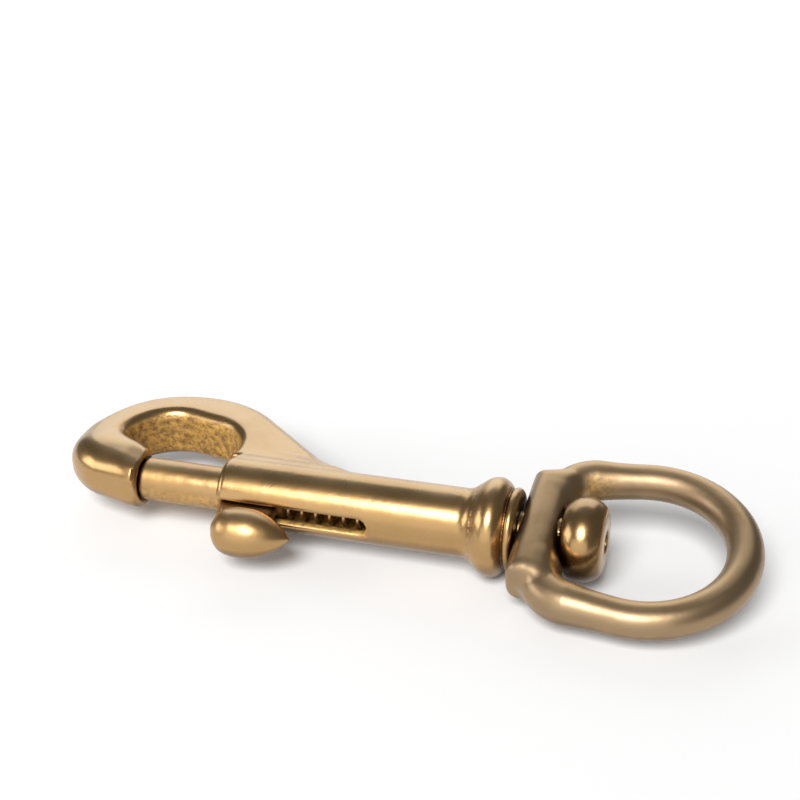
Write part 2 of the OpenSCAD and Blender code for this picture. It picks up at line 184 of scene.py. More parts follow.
class SnapBodySizes(bpy.types.PropertyGroup):
    """Sizes of the cast hook body, from the middle of the collar."""

    barrel_r: size("Barrel radius", 5.75, "Outside radius of the barrel")
    barrel_l: size("Barrel length", 47.3, "From the collar's middle to the mouth")
    mouth_round: size("Mouth rounding", 1.3, "Rounding of the barrel's rim")
    bore_r: size("Bore radius", 3.78, "Radius of the bolt's bore")
    bore_floor: size("Bore floor", 8, "From the bore's bottom to the collar's middle")
    slot_w: size("Slot width", 2.8, "Width of the slot for the neck")
    slot_end: size("Slot end", 20.65, "From the slot's end to the collar's middle")
    slot_roll: angle("Slot roll", 6, "Turn of the slot below the hook's plane")
    collar_r: size("Collar radius", 8.2, "Largest radius of the collar bead")
    bead_r: size("Bead radius", 2.3, "Radius of the collar bead's section")
    flare_r: size("Flare", 3, "Radius of the hollow before the collar")
    seat_r: size("Seat radius", 6.9, "Radius of the narrow bead")
    seat_t: size("Seat thickness", 1.7, "Thickness of the narrow bead")
    groove_r: size("Groove radius", 5.8, "Radius between the two beads")
    stem_r: size("Stem radius", 3.2, "Radius of the stem through the eye")
    head_x: size("Head place", 11.2, "From the collar's middle to the head")
    head_r: size("Head radius", 6.9, "Largest radius of the stem's head")
    head_l: size("Head length", 7, "Length of the stem's head")
    head_face_r: size("Head face", 4.9, "Radius of the head's flat end")
    head_hole_r: size("Head hole", 1.9, "Radius of the hole in the head")
    head_hole_l: size("Head hole depth", 6, "Depth of the hole in the head")
    half_t: size("Half thickness", 4.7, "Half the hook plate's thickness")
    crown: size("Crown", 0.4, "Fall of the plate's faces towards the outer edge")
    gate_l: size("Gate", 14.9, "Opening between nose and barrel")
    loop_r: size("Loop radius", 15.3, "Outline radius at the back")
    loop_dx: size("Loop place", 0.3, "From the nose's end to the loop's middle")
    loop_y: size("Loop height", 10.3, "From the axis to the loop's middle")
    cheek_r: size("Cheek radius", 10.9, "Outline radius round the nose")
    cheek_dx: size("Cheek place", 6.2, "From the nose's end to the cheek's middle")
    cheek_y: size("Cheek height", 7.3, "From the axis to the cheek's middle")
    throat_r: size("Throat radius", 8.8, "Radius of the throat beside the barrel")
    throat_dx: size("Throat place", 5, "From the nose's end to the throat's middle")
    throat_y: size("Throat height", 6.8, "From the axis to the throat's middle")
    bay_r: size("Bay radius", 8.2, "Radius of the throat's bay behind the nose")
    bay_dx: size("Bay place", 0.2, "From the nose's end to the bay's middle")
    bay_y: size("Bay height", 8.6, "From the axis to the bay's middle")
    edge_r: size("Edge rounding", 2.8, "Rounding of the outer edges")
    throat_edge_r: size("Throat rounding", 2.2, "Rounding of the throat's edges")
    spine_foot: size("Spine foot", 29.3, "Where the spine meets the barrel's back")
    shoulder_r: size("Shoulder radius", 21.035, "Outline radius from the loop to the spine")
    shoulder_y: size("Shoulder height", 4.8, "From the axis to the shoulder's middle")
    runout_r: size("Run-out", 16, "Hollow where the spine runs into the barrel")
    spine_angle: angle("Spine slope", 41, "Slope of the straight spine")
    nose_angle: angle("Nose slope", 31, "Slope of the nose's inner side")
    nose_flare: angle("Nose flare", 41, "Slope of the cone behind the nose's end")
    nose_inner: size("Nose inner", 2.8, "Half width of the nose on the throat's side")
    nose_l: size("Nose length", 6.5, "Length of the nose that is rounded")
    nose_r: size("Nose radius", 4.5, "Radius that the nose's end is rounded to")
    nose_round: size("Nose rounding", 0.6, "Rounding of the nose's rim")
    seat_depth: size("Seat depth", 0.5, "Depth of the bolt's seat in the nose")
    weld_r: size("Weld hollow", 1.2, "Hollow where the plate meets the barrel")
    web_rise: size("Web rise", 0.7, "Rise of the web's faces towards the barrel")
    cheek_rise: size("Cheek rise", 0.8, "How much thicker the cheek is than the loop")


class SnapBoltSizes(bpy.types.PropertyGroup):
    """Sizes of the sliding bolt with its neck and knob, and of the coil behind it."""

    bolt_r: size("Bolt radius", 3.7, "Radius of the bolt")
    bolt_l: size("Bolt length", 26.6, "Length of the bolt")
    tip_x: size("Tip place", -62.6, "Place of the bolt's tip from the collar's middle")
    tip_round: size("Tip rounding", 1.0, "Rounding of the bolt's tip")
    neck_x: size("Neck place", -48.5, "Front of the neck from the collar's middle")
    neck_l: size("Neck length", 12, "Length of the neck along the axis")
    neck_lean: size("Neck lean", 3.4, "How far the neck's front runs back at the knob")
    neck_w: size("Neck width", 2.3, "Thickness of the neck in the slot")
    knob_x: size("Knob place", -40.3, "Thickest place of the knob from the collar")
    knob_y: size("Knob reach", 10.8, "From the axis to the knob's middle")
    knob_r: size("Knob radius", 4.2, "Largest radius of the thumb knob")
    knob_front: size("Knob front", 5.2, "Length of the knob's blunt front")
    knob_rear: size("Knob rear", 8.4, "Length of the knob's tapered rear")
    knob_roll: angle("Knob roll", 6, "Turn of the knob below the hook's plane")
    knob_hollow: size("Knob hollow", 1.2, "Hollow where the neck meets the knob")
    wire_d: size("Wire", 0.8, "Diameter of the spring's wire")
    coil_r: size("Coil radius", 3.08, "Radius of the coil to its wire's middle")
    coil_start: size("Coil start", -35.5, "Front of the coil from the collar's middle")
    coil_end: size("Coil end", -8.5, "Rear of the coil from the collar's middle")
    coil_turns: bpy.props.FloatProperty(
        name="Turns", description="Turns of the coil", default=11, min=3
    )


class SnapEyeSizes(bpy.types.PropertyGroup):
    """Sizes of the swivel eye; its round end's middle is the part's origin."""

    reach: size("Reach", 24.3, "From the collar's middle to the eye's round end")
    wire_r: size("Wire radius", 2.95, "Radius of the eye's wire")
    root_r: size("Root radius", 3.4, "Radius of the wire beside the base")
    bend_r: size("Round end", 15.65, "Radius of the round end's middle line")
    corner_r: size("Corner", 6, "Radius of the corners' middle line")
    base_x: size("Base place", 4.2, "From the collar's middle to the base")
    base_l: size("Base length", 6.8, "Thickness of the base along the axis")
    base_w: size("Base width", 24, "Width of the base")
    base_h: size("Base height", 9.6, "Height of the base")
    base_round: size("Base rounding", 3.1, "Rounding of the base's long edges")
    base_end_r: size("Base ends", 2.4, "Rounding of the base's ends")
    base_fall: size("Base fall", 0.6, "How much lower the base is at its ends")
    hole_r: size("Hole radius", 3.3, "Radius of the hole for the stem")
    blend_r: size("Blend", 1.6, "Hollow where the wire meets the base")
    taper: angle("Taper", 8, "Taper of the sides towards the base")
    roll: angle("Roll", 12, "Turn of the eye about the swivel axis as it lies")


class SnapLook(bpy.types.PropertyGroup):
    """Colours of the brass and of the studio."""

    brass: colour("Brass", (0.62, 0.42, 0.22), "Clean satin brass")
    worn: colour("Worn brass", (0.70, 0.50, 0.28), "Brass rubbed bright")
    # Darker brass laid on every face not facing straight up: painted shade.
    dull: colour("Dull brass", (0.44, 0.265, 0.105), "Brass with a thin brown film")
    # The eye's own greyer tone, laid on its faces not facing straight up as painted shade.
    bronze: colour("Eye brass", (0.32, 0.22, 0.125), "Greyer film on the eye")
    # Brown patina of the hollows, also the colour of the painted shade in hollows, between pieces
    # and under them.
    patina: colour("Patina", (0.13, 0.075, 0.03), "Brown film in the hollows")
    gold: colour("Golden skin", (0.70, 0.42, 0.11), "Raw cast skin in the hollows")
    skin: colour("Brown skin", (0.30, 0.16, 0.05), "Pits of the raw cast skin")
    steel: colour("Steel", (0.58, 0.45, 0.27), "Oiled spring wire")
    floor: colour("Floor", (0.94, 0.94, 0.94), "Pale studio floor")


GROUPS = {
    "snap_body": SnapBodySizes,
    "snap_bolt": SnapBoltSizes,
    "snap_eye": SnapEyeSizes,
    "snap_look": SnapLook,
}


class Millimetres:
    """Reads a group's lengths in millimetres and its angles in radians."""

    def __init__(self, group):
        self.group = group
        self.units = {p.identifier: p.unit for p in group.bl_rna.properties if hasattr(p, "unit")}

    def __getattr__(self, name):
        value = getattr(self.group, name)
        return value / MM if self.units.get(name) == "LENGTH" else value


def sizes():
    """The three groups of sizes of the open scene."""
    scene = bpy.context.scene
    return (
        Millimetres(scene.snap_body),
        Millimetres(scene.snap_bolt),
        Millimetres(scene.snap_eye),
    )


def span(a, b):
    """Length of the pair (a, b)."""
    return np.sqrt(a * a + b * b)


def join(a, b, r):
    """Union of two distance fields with a hollow of radius r between them."""
    return np.maximum(r, np.minimum(a, b)) - span(np.maximum(r - a, 0), np.maximum(r - b, 0))


def both(a, b, r):
    """Intersection of two distance fields with an edge rounded to radius r."""
    return np.minimum(-r, np.maximum(a, b)) + span(np.maximum(r + a, 0), np.maximum(r + b, 0))


def carve(a, b, r):
    """Field a less field b, with the edge rounded to radius r."""
    return both(a, -b, r)


def turn(y, z, roll):
    """The pair (y, z) seen from a frame turned about X."""
    s, c = math.sin(roll), math.cos(roll)
    return y * c + z * s, z * c - y * s


def ease(value, low, high):
    """Smooth step from 0 at low to 1 at high."""
    t = np.clip((value - low) / (high - low), 0, 1)
    return t * t * (3 - 2 * t)


def slab(x, low, high):
    """Distance to the stretch from low to high along one axis."""
    return np.abs(x - (low + high) / 2) - (high - low) / 2


def disc(x, y, cx, cy, r):
    """Distance to a disc in the plane."""
    return span(x - cx, y - cy) - r


def hull(x, y, first, first_r, second, second_r):
    """Plan distance to the hull of two discs."""
    far = math.dist(first, second)
    ux, uy = (second[0] - first[0]) / far, (second[1] - first[1]) / far
    x, y = x - first[0], y - first[1]
    along, across = x * ux + y * uy, np.abs(y * ux - x * uy)
    s = (first_r - second_r) / far
    c = math.sqrt(1 - s * s)
    place = along * c - across * s
    flank = across * c + along * s - first_r
    near_end, far_end = span(across, along) - first_r, span(across, along - far) - second_r
    ends = np.where(place < 0, near_end, far_end)
    return np.where((place < 0) | (place > far * c), ends, flank)


def spine_side(x, y, b):
    """Distance to the straight spine, the barrel's back and the hollow between them."""
    s, c = math.sin(b.spine_angle), math.cos(b.spine_angle)
    foot = x + b.spine_foot
    lines = np.minimum(foot * s + (y - b.barrel_r) * c, y - b.barrel_r)
    dx = foot - b.runout_r * math.tan(b.spine_angle / 2)
    dy = y - b.barrel_r - b.runout_r
    hollow = (dx < 0) & (dy < 0) & (dx * c > dy * s)
    return np.maximum(np.where(hollow, b.runout_r - span(dx, dy), lines), dx)


def hook_outline(x, y, b):
    """Plan distance to the hook's outer outline: cheek, loop, shoulder and spine."""
    nose_x = -b.barrel_l - b.gate_l
    loop_c = (nose_x + b.loop_dx, b.loop_y)
    cheek_c = (nose_x - b.cheek_dx, b.cheek_y)
    loop = hull(x, y, loop_c, b.loop_r, cheek_c, b.cheek_r)
    s, c = math.sin(b.spine_angle), math.cos(b.spine_angle)
    mid_x = -b.spine_foot - (b.shoulder_r - (b.barrel_r - b.shoulder_y) * c) / s
    shoulder = disc(x, y, mid_x, b.shoulder_y, b.shoulder_r)
    web = np.where((x - mid_x) * c < (y - b.shoulder_y) * s, shoulder, spine_side(x, y, b))
    lead_x, lead_y = loop_c[0] - mid_x, b.loop_y - b.shoulder_y
    before = lead_x * (y - b.shoulder_y) - lead_y * (x - mid_x)
    web = np.maximum(np.maximum(web, before / math.hypot(lead_x, lead_y)), WEB_FOOT - y)
    return np.minimum(loop, web)


def throat_plan(x, y, b):
    """Plan distance to the throat: two circles short of the nose's slanted inner side."""
    nose_x = -b.barrel_l - b.gate_l
    throat_c = (nose_x + b.throat_dx, b.throat_y)
    hole = hull(x, y, throat_c, b.throat_r, (nose_x + b.bay_dx, b.bay_y), b.bay_r)
    s, c = math.sin(b.nose_angle), math.cos(b.nose_angle)
    slant = -((x - nose_x) * s + (y - b.nose_inner) * c)
    return both(hole, slant, THROAT_CORNER)


def turned_part(x, rho, b):
    """Distance to the barrel, collar, seat bead, stem and head, in the half plane of turning."""
    barrel = both(rho - b.barrel_r, slab(x, -b.barrel_l, 0), b.mouth_round)
    bead_y = b.collar_r - b.bead_r
    bead = np.minimum(
        disc(x, rho, 0, bead_y, b.bead_r), np.maximum(rho - bead_y, slab(x, -b.bead_r, b.bead_r))
    )
    body = join(barrel, bead, b.flare_r)
    seat_x = b.bead_r + b.seat_t / 2
    seat_y = b.seat_r - b.seat_t / 2
    seat = np.minimum(
        disc(x, rho, seat_x, seat_y, b.seat_t / 2),
        np.maximum(rho - seat_y, slab(x, seat_x - b.seat_t / 2, seat_x + b.seat_t / 2)),
    )
    groove = np.maximum(rho - b.groove_r, slab(x, 0, seat_x))
    body = join(np.minimum(body, groove), seat, SEAT_HOLLOW)
    stem = np.maximum(rho - b.stem_r, slab(x, 0, b.head_x + OVERLAP))
    bulge = b.head_r - b.head_face_r
    arc_r = (b.head_l**2 / 4 + bulge**2) / (2 * bulge)
    arc = disc(x, rho, b.head_x + b.head_l / 2, b.head_r - arc_r, arc_r)
    head = both(arc, slab(x, b.head_x, b.head_x + b.head_l), HEAD_EDGE)
    return join(np.minimum(body, stem), head, HEAD_HOLLOW)


def body_field(x, y, z, b):
    """Distance to the hook body: plate, throat, nose, barrel, collar and stem with their holes."""
    nose_x, mouth_x = -b.barrel_l - b.gate_l, -b.barrel_l
    rho = span(y, z)
    around = np.arctan2(y - b.throat_y, x - nose_x - b.throat_dx)
    soft = ease(np.abs(around), *SOFT_ANGLES) * ease(b.loop_y + SOFT_TOP - y, 0, SOFT_FADE)
    edge = b.edge_r + SOFT_EXTRA * soft
    outline = hook_outline(x, y, b)
    crown = b.crown * (1 + soft) * ease(outline, *CROWN_BAND)
    on_cheek = ease(nose_x + CHEEK_FRONT - x, 0, CHEEK_RUN)
    rise = b.web_rise * ease(WEB_TOP - y, 0, WEB_FADE) * ease(x - nose_x, *WEB_BAND)
    rise = rise + b.cheek_rise * on_cheek * ease(CHEEK_TOP - y, 0, CHEEK_FADE)
    u, v = outline + edge, np.abs(z) - b.half_t - rise + crown + edge
    plate = span(np.maximum(u, 0), np.maximum(v, 0)) + np.minimum(np.maximum(u, v), 0) - edge
    plate = carve(plate, throat_plan(x, y, b), b.throat_edge_r)
    s, c = math.sin(b.nose_flare), math.cos(b.nose_flare)
    cone = both((rho - b.nose_r) * c + (x - nose_x) * s, x - nose_x, b.nose_round)
    gate = np.maximum(slab(x, nose_x, mouth_x + OVERLAP), y - b.barrel_r + b.mouth_round)
    nose_off = np.maximum(np.maximum(slab(x, nose_x - b.nose_l, nose_x), y - b.throat_y), -cone)
    plate = carve(np.maximum(plate, -nose_off), gate, GATE_EDGE)
    sink = b.weld_r * ease(x + b.spine_foot, 0, SINK_RUN)
    plate = both(plate, spine_side(x, rho, b) + sink, RUNOUT_EDGE)
    body = join(plate, turned_part(x, rho, b), b.weld_r)
    bore = np.maximum(rho - b.bore_r, slab(x, mouth_x - CUT_PAST, -b.bore_floor))
    ahead, across = turn(y, z, b.slot_roll)
    slot = disc(np.maximum(x + b.slot_end + b.slot_w / 2, 0), across, 0, 0, b.slot_w / 2)
    slot = np.maximum(np.maximum(slot, ahead), mouth_x - CUT_PAST - x)
    body = carve(carve(body, bore, HOLE_EDGE), slot, SLOT_EDGE)
    dimple = np.maximum(rho - b.bore_r, slab(x, nose_x - b.seat_depth, nose_x + CUT_PAST))
    hole_x = b.head_x + b.head_l
    depth = slab(x, hole_x - b.head_hole_l, hole_x + CUT_PAST)
    hole = np.maximum(rho - b.head_hole_r, depth)
    return carve(carve(body, dimple, DENT_EDGE), hole, HOLE_EDGE)


def bolt_field(x, y, z, k):
    """Distance to the bolt with its neck and egg-shaped knob."""
    rho = span(y, z)
    rod = both(rho - k.bolt_r, slab(x, k.tip_x, k.tip_x + k.bolt_l), k.tip_round)
    y, z = turn(y, z, k.knob_roll)
    r = k.neck_w / 2
    lean = k.neck_lean * np.clip(-y / k.knob_y, 0, 1)
    neck_mid = np.maximum(k.neck_x + lean - x, x - k.neck_x - k.neck_l) + r
    neck = np.maximum(span(np.maximum(neck_mid, 0), z) - r, slab(y, -k.knob_y, 0))
    away = span(y + k.knob_y, z)
    rear_r = (k.knob_rear**2 + k.knob_r**2) / (2 * k.knob_r)
    rear = disc(x, away, k.knob_x, k.knob_r - rear_r, rear_r)
    front_x = k.knob_x - k.knob_front + k.knob_r
    front = span(np.minimum(x - front_x, 0), away) - k.knob_r
    knob = both(rear, front, KNOB_EDGE)
    return join(join(rod, neck, NECK_HOLLOW), knob, k.knob_hollow)


def eye_field(x, y, z, e):
    """Distance to the swivel eye, in the collar's frame."""
    v, w = turn(y, z, e.roll)
    v = np.abs(v)
    u = x - e.reach
    st, ct = math.sin(e.taper), math.cos(e.taper)
    base_mid = e.base_x + e.base_l / 2 - e.reach
    ax, ay = -e.bend_r * st, e.bend_r * ct
    side_l = (ax - base_mid - e.corner_r - e.corner_r * st) / ct
    bx, by = ax - side_l * ct, ay - side_l * st
    cx, cy = bx + e.corner_r * st, by - e.corner_r * ct
    end = np.where(u * ct + v * st > 0, np.abs(span(u, v) - e.bend_r), FAR_OFF)
    t = np.clip(-(u - ax) * ct - (v - ay) * st, 0, side_l)
    side = span(u - ax + t * ct, v - ay + t * st)
    grow = np.clip(t / side_l, 0, 1)
    inside = ((u - cx) * ct + (v - cy) * st < 0) & (v > cy)
    corner = np.where(inside, np.abs(span(u - cx, v - cy) - e.corner_r), FAR_OFF)
    corner_end = span(u - cx + e.corner_r, v - cy)
    thin = span(np.minimum(end, side), w) - e.wire_r - (e.root_r - e.wire_r) * grow**2
    thick = span(np.minimum(corner, corner_end), w) - e.root_r
    wire = np.minimum(thin, thick)
    r = e.base_round
    du = np.abs(u - base_mid) - e.base_l / 2 + r
    fall = e.base_fall * (v / e.base_w * 2) ** 2
    dw = np.abs(w) - e.base_h / 2 + r + fall
    block = span(np.maximum(du, 0), np.maximum(dw, 0)) + np.minimum(np.maximum(du, dw), 0) - r
    r = e.base_end_r
    dv, dw = v - e.base_w / 2 + r, np.abs(w) - e.base_h / 2 + r
    ends = span(np.maximum(dv, 0), np.maximum(dw, 0)) + np.minimum(np.maximum(dv, dw), 0) - r
    block = both(block, ends, BASE_END_EDGE)
    solid = join(wire, block, e.blend_r)
    hole = np.maximum(span(y, z) - e.hole_r, slab(u, base_mid - e.base_l, base_mid + e.base_l))
    return carve(solid, hole, HOLE_EDGE)


# For a grid edge along X, Y or Z: the steps back to the four cells round it, in order
FACES = (
    ((0, 1, 1), (0, 0, 1), (0, 0, 0), (0, 1, 0)),
    ((1, 0, 1), (1, 0, 0), (0, 0, 0), (0, 0, 1)),
    ((1, 1, 0), (0, 1, 0), (0, 0, 0), (1, 0, 0)),
)


def net(field, low, high, cell):
    """Vertices and quads of a field's zero surface on a grid of cells."""
    axes = [
        np.arange(a - 2 * cell, b + 3 * cell, cell, dtype=np.float32) for a, b in zip(low, high)
    ]
    value = field(*np.meshgrid(*axes, indexing="ij", sparse=True)).astype(np.float32)
    inside = value < 0
    n = np.array(value.shape) - 1
    corners = [(i, j, k) for i in (0, 1) for j in (0, 1) for k in (0, 1)]
    total = sum(
        inside[i : i + n[0], j : j + n[1], k : k + n[2]].astype(np.int8) for i, j, k in corners
    )
    cells = np.argwhere((total > 0) & (total < 8))
    number = np.full(n, -1, np.int64)
    number[tuple(cells.T)] = np.arange(len(cells))
    at = np.array([value[tuple((cells + o).T)] for o in np.array(corners)])
    place, hits = np.zeros((len(cells), 3)), np.zeros(len(cells))
    for a in range(8):
        for bit in (1, 2, 4):
            d = a | bit
            if d == a:
                continue
            crossed = (at[a] < 0) != (at[d] < 0)
            t = np.where(crossed, at[a] / np.where(crossed, at[a] - at[d], 1), 0)
            start, stop = np.array(corners[a]), np.array(corners[d])
            place += crossed[:, None] * (start + t[:, None] * (stop - start))
            hits += crossed
    points = np.array([a[0] for a in axes]) + cell * (cells + place / hits[:, None])
    quads = []
    for axis in range(3):
        first = np.take(inside, range(n[axis]), axis)
        second = np.take(inside, range(1, n[axis] + 1), axis)
        edges = np.argwhere(first != second)
        others = [i for i in range(3) if i != axis]
        edges = edges[np.all((edges[:, others] > 0) & (edges[:, others] < n[others]), axis=1)]
        quad = np.stack([number[tuple((edges - np.array(o)).T)] for o in FACES[axis]], axis=1)
        flip = first[tuple(edges.T)]
        quad[~flip] = quad[~flip][:, ::-1]
        quads.append(quad)
    return points, np.concatenate(quads)


def slope(field, points, step=0.02):
    """Gradient of a field at points."""
    grads = []
    for axis in range(3):
        ahead, behind = points.copy(), points.copy()
        ahead[:, axis] += step
        behind[:, axis] -= step
        grads.append((field(*ahead.T) - field(*behind.T)) / (2 * step))
    return np.stack(grads, axis=1)


def settle(field, points, cell, rounds=3):
    """Moves points onto the field's zero surface; returns them with their normals."""
    for _ in range(rounds):
        grad = slope(field, points)
        move = grad * (field(*points.T) / np.maximum((grad**2).sum(1), LEAST_SLOPE))[:, None]
        points = points - np.clip(move, -cell / 2, cell / 2)
    grad = slope(field, points)
    return points, grad / np.maximum(np.linalg.norm(grad, axis=1), TINY)[:, None]


def no_darkening(points):
    """A piece with no darkening but the painted shade and patina of its hollows and the painted
    shade of its underside.
    """
    return 0


def cast_piece(name, field, node, cell, raw, darkening=no_darkening):
    """A mesh object of a field, with where it is hollow (painted shade and patina), worn, shaded by
    its facing (painted shade) and raw as point attributes.
    """
    reach = np.array([sizes()[2].reach, 0, 0])
    low, high = (np.array(corner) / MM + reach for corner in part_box(node))
    points, quads = net(field, low - GRID_MARGIN, high + GRID_MARGIN, cell)
    points, normals = settle(field, points, cell)
    mesh = bpy.data.meshes.new(name)
    mesh.from_pydata(((points - reach) * MM).tolist(), [], quads.tolist())
    mesh.polygons.foreach_set("use_smooth", np.ones(len(mesh.polygons), bool))
    # The hollow layer: painted shade where nearby surfaces or other pieces close in, read also as
    # brown patina, and painted shade on faces that face down.
    hollow = np.zeros(len(points))
    for gap, share in HOLLOW_PROBES:
        ahead = points + normals * gap
        hollow += share * np.clip(1 - all_fields(*ahead.T) / gap, 0, HOLLOW_LIMIT)
    hollow += UNDERSIDE_SHADE * ease(-normals[:, 2], 0, UNDERSIDE_SLOPE) + darkening(points)
    behind = points - normals * WEAR_DEPTH
    worn = np.clip(1 + field(*behind.T) / WEAR_DEPTH, 0, 1)
    layers = {
        "hollow": hollow,
        "worn": worn,
        # Painted shade: faces less level than the band take the darker brass.
        "dull": 1 - ease(normals[:, 2], *LEVEL_BAND),
        "raw": raw(points, normals),
    }
    for key, data in layers.items():
        attribute = mesh.attributes.new(key, "FLOAT", "POINT")
        attribute.data.foreach_set("value", data.astype(np.float32))
    mesh.normals_split_custom_set_from_vertices(normals.tolist())
    obj = bpy.data.objects.new(name, mesh)
    bpy.context.scene.collection.objects.link(obj)
    return obj


def all_fields(x, y, z):
    """Distance to the nearest piece, for where pieces shade each other."""
    b, k, e = sizes()
    nearest = np.minimum(body_field(x, y, z, b), bolt_field(x, y, z, k))
    return np.minimum(nearest, eye_field(x, y, z, e))


class Nodes:
    """Short ways to build a material's tree."""

    def __init__(self, name):
        self.material = bpy.data.materials.new(name)
        self.material.use_nodes = True
        self.tree = self.material.node_tree
        self.shader = self.tree.nodes["Principled BSDF"]

    def add(self, kind, **settings):
        """A new node with its settings."""
        node = self.tree.nodes.new(kind)
        for key, value in settings.items():
            setattr(node, key, value)
        return node

    def put(self, value, socket):
        """Links an output to a socket, or sets a plain value on it."""
        if isinstance(value, bpy.types.NodeSocket):
            self.tree.links.new(value, socket)
        else:
            socket.default_value = value

    def attribute(self, name):
        """A point attribute of the piece."""
        return self.add("ShaderNodeAttribute", attribute_name=name).outputs["Fac"]

    def noise(self, scale, detail, rough):
        """Cloudy noise on the piece's own coordinates."""
        where = self.add("ShaderNodeTexCoord").outputs["Object"]
        node = self.add("ShaderNodeTexNoise")
        self.put(where, node.inputs["Vector"])
        node.inputs["Scale"].default_value = scale
        node.inputs["Detail"].default_value = detail
        node.inputs["Roughness"].default_value = rough
        return node.outputs["Fac"]

    def span(self, value, low, high, start=0.0, end=1.0):
        """Maps the stretch from low to high onto that from start to end."""
        node = self.add("ShaderNodeMapRange")
        self.put(value, node.inputs["Value"])
        node.inputs["From Min"].default_value = low
        node.inputs["From Max"].default_value = high
        node.inputs["To Min"].default_value = start
        node.inputs["To Max"].default_value = end
        return node.outputs["Result"]

    def math(self, kind, a, b):
        """A sum or product of two values."""
        node = self.add("ShaderNodeMath", operation=kind)
        self.put(a, node.inputs[0])
        self.put(b, node.inputs[1])
        return node.outputs[0]

    def mix(self, share, a, b):
        """Colour a with a share of colour b."""
        node = self.add("ShaderNodeMix", data_type="RGBA")
        self.put(share, node.inputs["Factor"])
        self.put((*a, 1) if isinstance(a, tuple) else a, node.inputs["A"])
        self.put((*b, 1) if isinstance(b, tuple) else b, node.inputs["B"])
        return node.outputs["Result"]

    def bump(self, height, strength, distance, normal=None):
        """Fine relief, over an earlier relief where one is given."""
        node = self.add("ShaderNodeBump")
        node.inputs["Distance"].default_value = distance
        self.put(strength, node.inputs["Strength"])
        self.put(height, node.inputs["Height"])
        if normal is not None:
            self.put(normal, node.inputs["Normal"])
        return node.outputs["Normal"]


def brass(name, shade_tone, rough, lumpy):
    """Satin cast brass: painted shade and brown patina in hollows, painted shade under the piece
    and on faces not facing straight up, rubbed edges, raw golden skin where it is rough.
    """
    look = bpy.context.scene.snap_look
    n = Nodes(name)
    cloudy = n.noise(scale=110, detail=3, rough=0.55)
    fine = n.noise(scale=1100, detail=2, rough=0.6)
    grain = n.noise(scale=900, detail=4, rough=0.7)
    coarse = n.noise(scale=330, detail=2, rough=0.5)
    unshaded = n.mix(n.span(cloudy, 0.35, 0.65), tuple(look.brass), tuple(look.worn))
    # Painted shade: the darker brass on every face not facing straight up, a little changed by
    # cloudy noise.
    dull = n.math("MULTIPLY", n.attribute("dull"), n.span(cloudy, 0.3, 0.7, 0.8, 1.0))
    base = n.mix(dull, unshaded, tuple(shade_tone))
    # Painted shade and brown patina: the hollow layer, a little changed by cloudy noise, darkens
    # towards the patina colour.
    darkening = n.math("ADD", n.attribute("hollow"), n.span(cloudy, 0.3, 0.7, -0.08, 0.08))
    tone = n.mix(n.span(darkening, 0.3, 1.1), base, tuple(look.patina))
    tone = n.mix(n.span(n.attribute("worn"), 0.3, 0.9, 0, 0.2), tone, tuple(look.worn))
    raw = n.attribute("raw")
    skin = n.mix(n.span(grain, 0.38, 0.6), tuple(look.skin), tuple(look.gold))
    n.put(n.mix(raw, tone, skin), n.shader.inputs["Base Color"])
    n.put(n.span(raw, 0, 1, 1.0, RAW_METAL), n.shader.inputs["Metallic"])
    n.shader.inputs["Coat Weight"].default_value = 0.2
    n.shader.inputs["Coat Roughness"].default_value = 0.2
    satin = n.span(cloudy, 0.3, 0.7, rough - 0.05, rough + 0.05)
    rougher = n.math("MULTIPLY", raw, RAW_ROUGHER)
    n.put(n.math("ADD", satin, rougher), n.shader.inputs["Roughness"])
    lumps = n.bump(coarse, strength=lumpy, distance=0.0005)
    smooth = n.bump(fine, strength=0.1, distance=0.00008, normal=lumps)
    pits = n.bump(grain, strength=raw, distance=0.0004, normal=smooth)
    n.put(pits, n.shader.inputs["Normal"])
    return n.material


def spring_steel(name):
    """Drawn wire with a warm film of oil."""
    n = Nodes(name)
    n.put((*bpy.context.scene.snap_look.steel, 1), n.shader.inputs["Base Color"])
    n.shader.inputs["Metallic"].default_value = 1.0
    n.shader.inputs["Roughness"].default_value = 0.3
    return n.material


def place(obj, body, node, slot, material):
    """Dresses a piece, attaches it to its body and hides its CAD node."""
    obj.data.materials.clear()
    obj.data.materials.append(material)
    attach(obj, body)
    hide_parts(node)


class SNAP_OT_body(bpy.types.Operator):
    """Builds the cast hook body"""

    bl_idname = "snap.body"
    bl_label = "Hook body"

    def execute(self, context):
        b, _, _ = sizes()

        def raw(points, normals):
            x, y, z = points.T
            wall = ease(-throat_plan(x, y, b), *WALL_DEPTH) * ease(-np.abs(z), *WALL_HEIGHT)
            ahead, across = turn(y, z, b.slot_roll)
            side = -b.slot_w / 2
            slot = ease(-np.abs(across), side - SLOT_RIM, side) * (ahead < 0)
            round_wall = normals[:, 1] ** 2 + normals[:, 2] ** 2 > ROUND_SHARE
            bore = (span(y, z) < b.bore_r + BORE_RIM) & round_wall
            inside = (x > -b.barrel_l + OVERLAP) & (x < -b.slot_end + SLOT_REST)
            return np.maximum(wall, np.maximum(slot, bore) * inside)

        # The stem's head is darker brown.
        def darkening(points):
            return HEAD_DARKENING * (points[:, 0] > b.head_x - HEAD_START)

        def field(x, y, z):
            return body_field(x, y, z, b)

        obj = cast_piece("hook_body_cast", field, "hook_body", BODY_CELL, raw, darkening)
        tone = context.scene.snap_look.dull
        material = brass("body_brass", tone, rough=0.28, lumpy=0.08)
        place(obj, "body", "hook_body", "body_brass", material)
        return {"FINISHED"}


